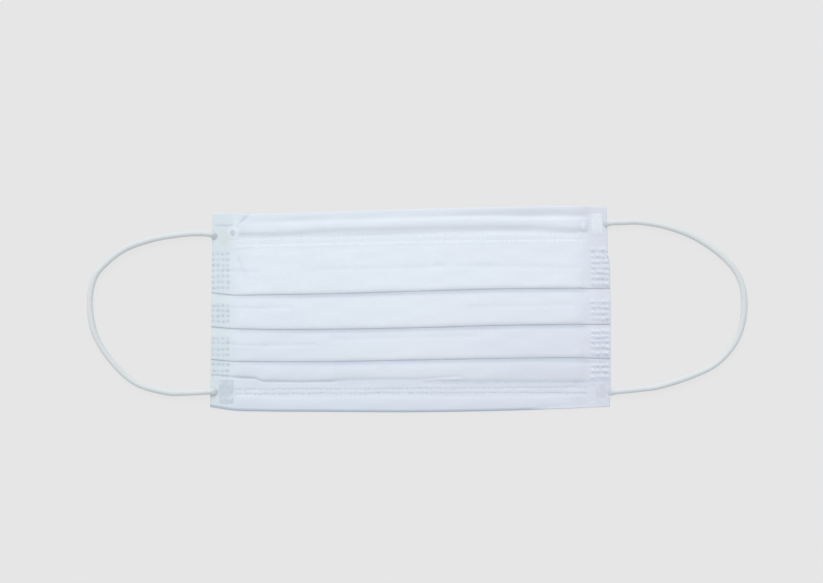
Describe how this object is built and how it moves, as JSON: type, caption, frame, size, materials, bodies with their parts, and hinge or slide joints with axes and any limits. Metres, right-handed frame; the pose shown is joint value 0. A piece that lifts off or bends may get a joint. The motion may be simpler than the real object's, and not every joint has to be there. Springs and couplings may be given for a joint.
{
  "type": "surgical face mask",
  "caption": "Pleated disposable face mask lying flat on its back, with a nose wire in the top hem and round elastic ear loops welded to its corners.",
  "frame": {"origin": "under the middle of the mask body, on the surface that it lies on", "axes": "+X to the right across the front, +Y up the front to the nose edge, +Z out of the front of the mask"},
  "size_m": [0.2893, 0.0906, 0.0054],
  "materials": {
    "nonwoven_cloth": "matt spunbond polypropylene, pale bluish white",
    "coated_wire": "smooth white plastic coating",
    "elastic_cord": "fine knitted polyester over elastic, greyish white",
    "pressed_weld": "cloth and cord pressed together, knurled"
  },
  "bodies": {
    "root": {"pleated_panel": "nonwoven_cloth", "nose_wire": "coated_wire", "ear_loop_left": "elastic_cord", "ear_loop_right": "elastic_cord", "loop_weld_upper_left": "pressed_weld", "loop_weld_lower_left": "pressed_weld", "loop_weld_upper_right": "pressed_weld", "loop_weld_lower_right": "pressed_weld"}
  },
  "joints": []
}
